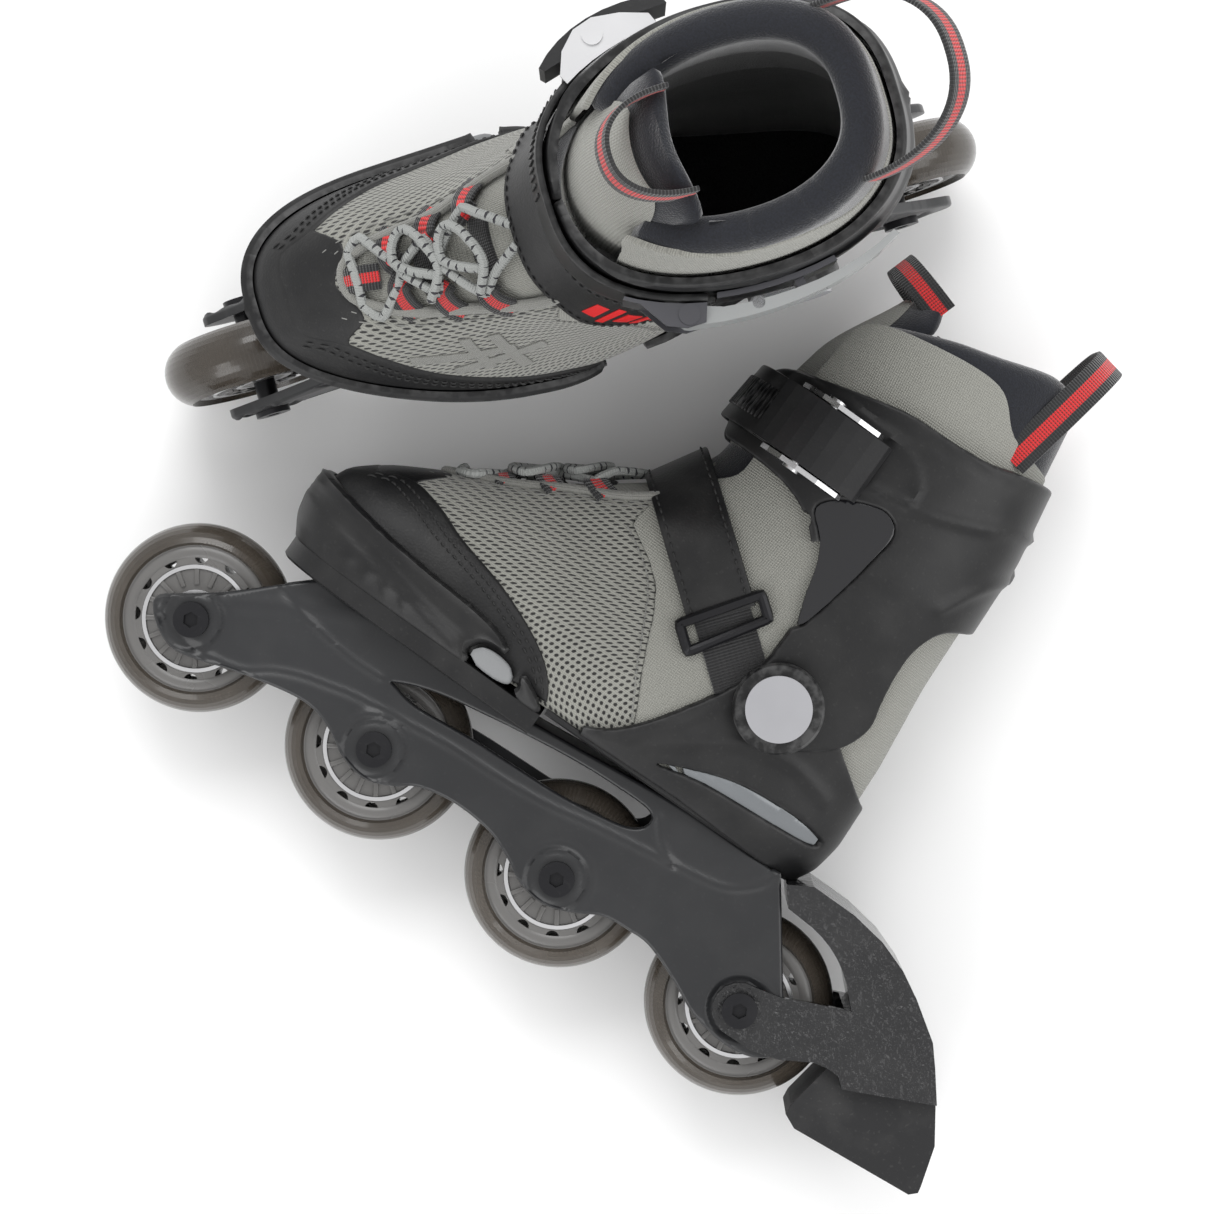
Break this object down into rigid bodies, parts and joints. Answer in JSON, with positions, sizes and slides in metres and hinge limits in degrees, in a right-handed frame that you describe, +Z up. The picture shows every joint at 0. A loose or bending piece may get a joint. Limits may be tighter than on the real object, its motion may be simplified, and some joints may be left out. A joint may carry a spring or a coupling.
{
  "type": "inline skates",
  "caption": "Pair of soft-boot inline skates with a hinged cuff, buckle, ratchet strap, power strap, laces, sliding toe and a heel brake on one skate.",
  "frame": {"origin": "middle of the pair's footprint, on the ground", "axes": "+Z up from the ground, -X along the right skate's heading"},
  "size_m": [0.4032, 0.3486, 0.3156],
  "materials": {
    "shell_plastic": "satin black, moulded",
    "chassis": "satin charcoal",
    "steel": "brushed",
    "dark_steel": "dark plated",
    "black_steel": "black oxide",
    "grey_plastic": "satin grey",
    "lever_grey": "light grey, satin",
    "clear_plastic": "milky",
    "tyre": "smoky translucent urethane",
    "hub": "pale grey, semi-clear",
    "upper_mesh": "woven mesh, warm grey",
    "padding": "brushed, navy black",
    "strap_leather": "black synthetic leather, stitched",
    "lace": "braided, pale grey with black flecks",
    "webbing": "red and black webbing",
    "brake_rubber": "matte black"
  },
  "bodies": {
    "right_base": {"right_shell": "shell_plastic", "right_frame": "chassis", "right_mount_bolts": "steel", "right_axles": "black_steel", "right_pivot_rivets": "steel", "right_liner_foot": "upper_mesh", "right_power_strap": "strap_leather", "right_laces": "lace", "right_brake_arm": "shell_plastic", "right_brake_pad": "brake_rubber"},
    "right_cuff": {"right_cuff": "shell_plastic", "right_buckle_base": "shell_plastic", "right_strap_bracket": "dark_steel", "right_ratchet_base": "steel", "right_cuff_strap": "shell_plastic", "right_liner_collar": "padding", "right_tongue": "upper_mesh", "right_pull_loops": "webbing"},
    "right_toe": {"right_toe_cap": "shell_plastic"},
    "right_button": {"right_size_button": "grey_plastic"},
    "right_buckle_lever": {"right_buckle_lever": "lever_grey"},
    "right_buckle_link": {"right_buckle_link": "clear_plastic"},
    "right_ratchet_lever": {"right_ratchet_lever": "shell_plastic"},
    "right_wheel_1": {"right_tyre_1": "tyre", "right_hub_1": "hub"},
    "right_wheel_2": {"right_tyre_2": "tyre", "right_hub_2": "hub"},
    "right_wheel_3": {"right_tyre_3": "tyre", "right_hub_3": "hub"},
    "right_wheel_4": {"right_tyre_4": "tyre", "right_hub_4": "hub"},
    "left_base": {"left_shell": "shell_plastic", "left_frame": "chassis", "left_mount_bolts": "steel", "left_axles": "black_steel", "left_pivot_rivets": "steel", "left_liner_foot": "upper_mesh", "left_power_strap": "strap_leather", "left_laces": "lace"},
    "left_cuff": {"left_cuff": "shell_plastic", "left_buckle_base": "shell_plastic", "left_strap_bracket": "dark_steel", "left_ratchet_base": "steel", "left_cuff_strap": "shell_plastic", "left_liner_collar": "padding", "left_tongue": "upper_mesh", "left_pull_loops": "webbing"},
    "left_toe": {"left_toe_cap": "shell_plastic"},
    "left_button": {"left_size_button": "grey_plastic"},
    "left_buckle_lever": {"left_buckle_lever": "lever_grey"},
    "left_buckle_link": {"left_buckle_link": "clear_plastic"},
    "left_ratchet_lever": {"left_ratchet_lever": "shell_plastic"},
    "left_wheel_1": {"left_tyre_1": "tyre", "left_hub_1": "hub"},
    "left_wheel_2": {"left_tyre_2": "tyre", "left_hub_2": "hub"},
    "left_wheel_3": {"left_tyre_3": "tyre", "left_hub_3": "hub"},
    "left_wheel_4": {"left_tyre_4": "tyre", "left_hub_4": "hub"}
  },
  "joints": [
    {"name": "right_wheel_1_spin", "type": "hinge", "parent": "right_base", "child": "right_wheel_1", "pos_m": [0.10912, -0.13936, 0.04531], "axis": [0, -0.0401, 0.9992], "continuous": true},
    {"name": "right_wheel_2_spin", "type": "hinge", "parent": "right_base", "child": "right_wheel_2", "pos_m": [0.02762, -0.13936, 0.04531], "axis": [0, -0.0401, 0.9992], "continuous": true},
    {"name": "right_wheel_3_spin", "type": "hinge", "parent": "right_base", "child": "right_wheel_3", "pos_m": [-0.05388, -0.13936, 0.04531], "axis": [0, -0.0401, 0.9992], "continuous": true},
    {"name": "right_wheel_4_spin", "type": "hinge", "parent": "right_base", "child": "right_wheel_4", "pos_m": [-0.13538, -0.13936, 0.04531], "axis": [0, -0.0401, 0.9992], "continuous": true},
    {"name": "right_cuff_lean", "type": "hinge", "parent": "right_base", "child": "right_cuff", "pos_m": [0.05612, -0.04144, 0.04924], "axis": [0, -0.0401, 0.9992], "range_deg": [-3, 6]},
    {"name": "right_toe_slide", "type": "slide", "parent": "right_base", "child": "right_toe", "axis": [-1, 0, 0], "range_m": [0, 0.02]},
    {"name": "right_button_press", "type": "slide", "parent": "right_toe", "child": "right_button", "axis": [0, 0.0401, -0.9992], "range_m": [0, 0.002], "stiffness_N_per_m": 800},
    {"name": "right_buckle_open", "type": "hinge", "parent": "right_cuff", "child": "right_buckle_lever", "pos_m": [0.01414, 0.04686, 0.00631], "axis": [0, 0.9992, 0.0401], "range_deg": [0, 105]},
    {"name": "right_link_swing", "type": "hinge", "parent": "right_buckle_lever", "child": "right_buckle_link", "pos_m": [0.03622, 0.04695, 0.00404], "axis": [0, 0.9992, 0.0401], "range_deg": [-105, 0]},
    {"name": "right_ratchet_press", "type": "hinge", "parent": "right_cuff", "child": "right_ratchet_lever", "pos_m": [0.00976, 0.04315, 0.09849], "axis": [0, -0.9992, -0.0401], "range_deg": [0, 16], "stiffness_Nm_per_rad": 0.5},
    {"name": "left_wheel_1_spin", "type": "hinge", "parent": "left_base", "child": "left_wheel_1", "pos_m": [-0.02488, 0.14424, 0.035], "axis": [0.788, -0.6157, 0], "continuous": true},
    {"name": "left_wheel_2_spin", "type": "hinge", "parent": "left_base", "child": "left_wheel_2", "pos_m": [-0.07506, 0.08002, 0.035], "axis": [0.788, -0.6157, 0], "continuous": true},
    {"name": "left_wheel_3_spin", "type": "hinge", "parent": "left_base", "child": "left_wheel_3", "pos_m": [-0.12523, 0.01579, 0.035], "axis": [0.788, -0.6157, 0], "continuous": true},
    {"name": "left_wheel_4_spin", "type": "hinge", "parent": "left_base", "child": "left_wheel_4", "pos_m": [-0.17541, -0.04843, 0.035], "axis": [0.788, -0.6157, 0], "continuous": true},
    {"name": "left_cuff_lean", "type": "hinge", "parent": "left_base", "child": "left_cuff", "pos_m": [-0.05751, 0.10247, 0.133], "axis": [0.788, -0.6157, 0], "range_deg": [-3, 6]},
    {"name": "left_toe_slide", "type": "slide", "parent": "left_base", "child": "left_toe", "axis": [-0.6157, -0.788, 0], "range_m": [0, 0.02]},
    {"name": "left_button_press", "type": "slide", "parent": "left_toe", "child": "left_button", "axis": [0.788, -0.6157, 0], "range_m": [0, 0.002], "stiffness_N_per_m": 800},
    {"name": "left_buckle_open", "type": "hinge", "parent": "left_cuff", "child": "left_buckle_lever", "pos_m": [-0.04676, 0.0408, 0.2195], "axis": [0, 0, -1], "range_deg": [0, 105]},
    {"name": "left_link_swing", "type": "hinge", "parent": "left_buckle_lever", "child": "left_buckle_link", "pos_m": [-0.03138, 0.05681, 0.2195], "axis": [0, 0, -1], "range_deg": [-105, 0]},
    {"name": "left_ratchet_press", "type": "hinge", "parent": "left_cuff", "child": "left_ratchet_lever", "pos_m": [-0.12216, 0.09415, 0.2195], "axis": [0, 0, 1], "range_deg": [0, 16], "stiffness_Nm_per_rad": 0.5},
    {"name": "left_lift_off", "type": "slide", "parent": "right_base", "child": "left_base", "axis": [0, 0, 1], "range_m": [0, 0.3]}
  ],
  "couplings": [
    {"joint": "right_link_swing", "follows": "right_buckle_open", "ratio": -1},
    {"joint": "left_link_swing", "follows": "left_buckle_open", "ratio": -1}
  ]
}
